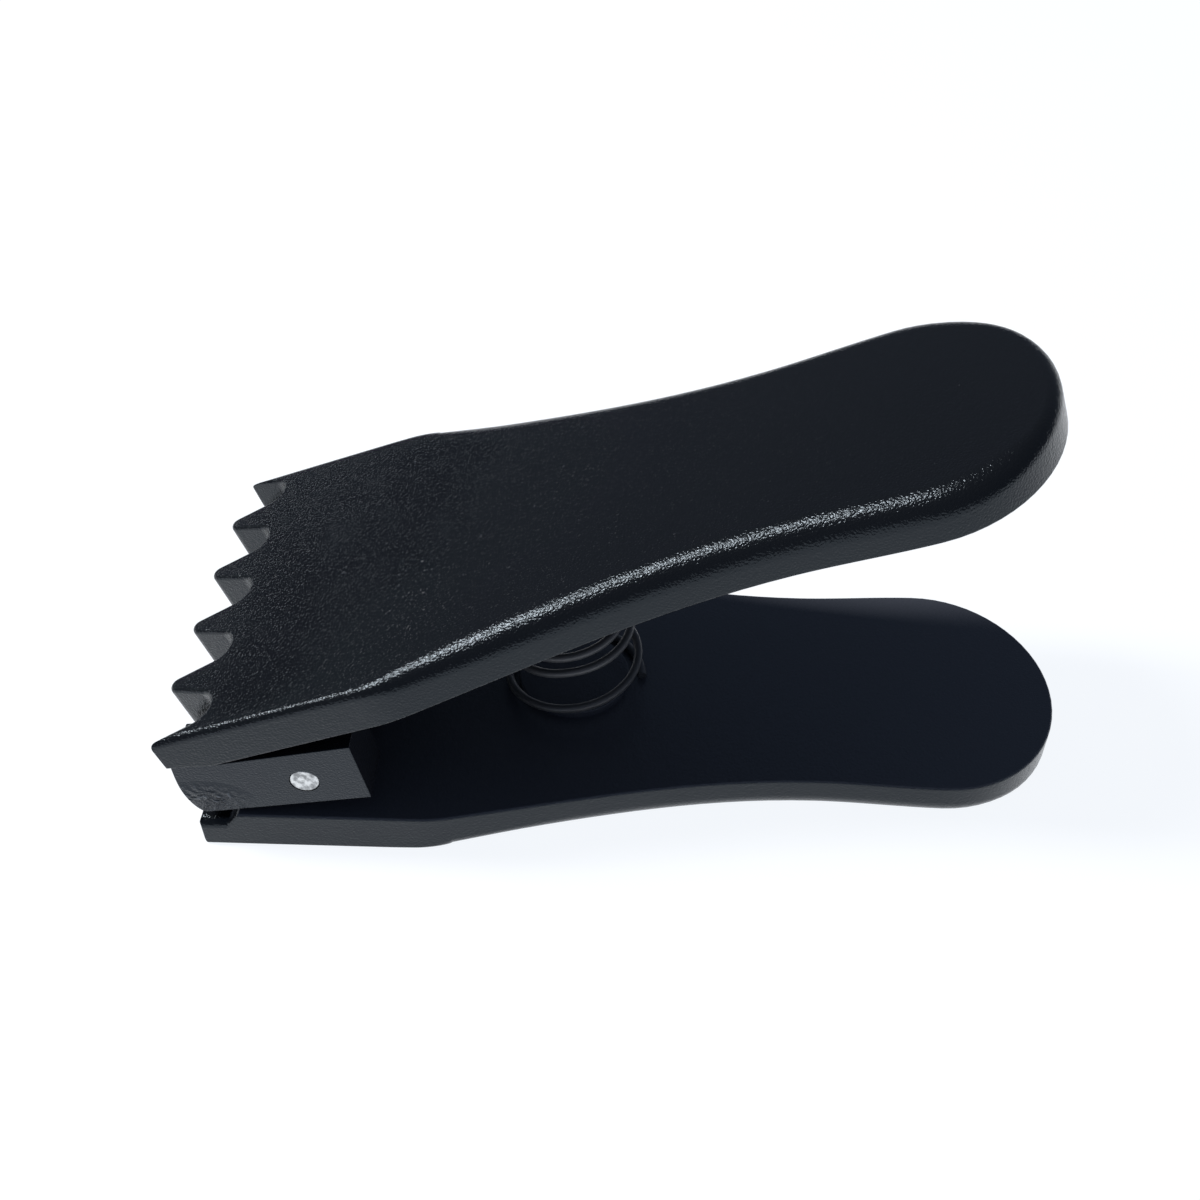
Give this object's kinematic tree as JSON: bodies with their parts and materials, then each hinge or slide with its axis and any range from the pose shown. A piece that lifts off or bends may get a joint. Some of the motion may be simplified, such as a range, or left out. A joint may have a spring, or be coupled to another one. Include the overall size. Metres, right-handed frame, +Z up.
{
  "type": "lobster cracker",
  "caption": "Spring-loaded shellfish tool: plate handles on a front hinge pin, a toothed upper jaw, side hinge blocks and a conical spring that holds the grips apart.",
  "frame": {"origin": "middle of the base: halfway along the tool at rest, on its centre plane, on the flat outer face of the lower handle that it rests on", "axes": "+X from the toothed jaw to the grips' rounded ends, +Y along the hinge pin, +Z up from the lower handle to the upper one"},
  "size_m": [0.1566, 0.0702, 0.078],
  "materials": {
    "handle_coat": "satin",
    "block_coat": "satin",
    "pin_metal": "satin",
    "spring_wire": "satin"
  },
  "bodies": {
    "lower_handle": {"lower_handle": "handle_coat", "spring": "spring_wire"},
    "upper_handle": {"upper_handle": "handle_coat"},
    "hinge_blocks": {"left_hinge_block": "block_coat", "right_hinge_block": "block_coat", "hinge_pin": "pin_metal"}
  },
  "joints": [
    {"name": "handle_squeeze", "type": "hinge", "parent": "lower_handle", "child": "upper_handle", "pos_m": [-0.0539, 0, 0.0167], "axis": [0, 1, 0], "range_deg": [0, 27], "stiffness_Nm_per_rad": 4.9, "springref_deg": -6.7, "deforming": ["spring"]},
    {"name": "block_pivot", "type": "hinge", "parent": "lower_handle", "child": "hinge_blocks", "pos_m": [-0.0539, 0, 0.0167], "axis": [0, 1, 0], "range_deg": [0, 13.6]}
  ],
  "couplings": [
    {"joint": "block_pivot", "follows": "handle_squeeze", "ratio": 0.5}
  ]
}
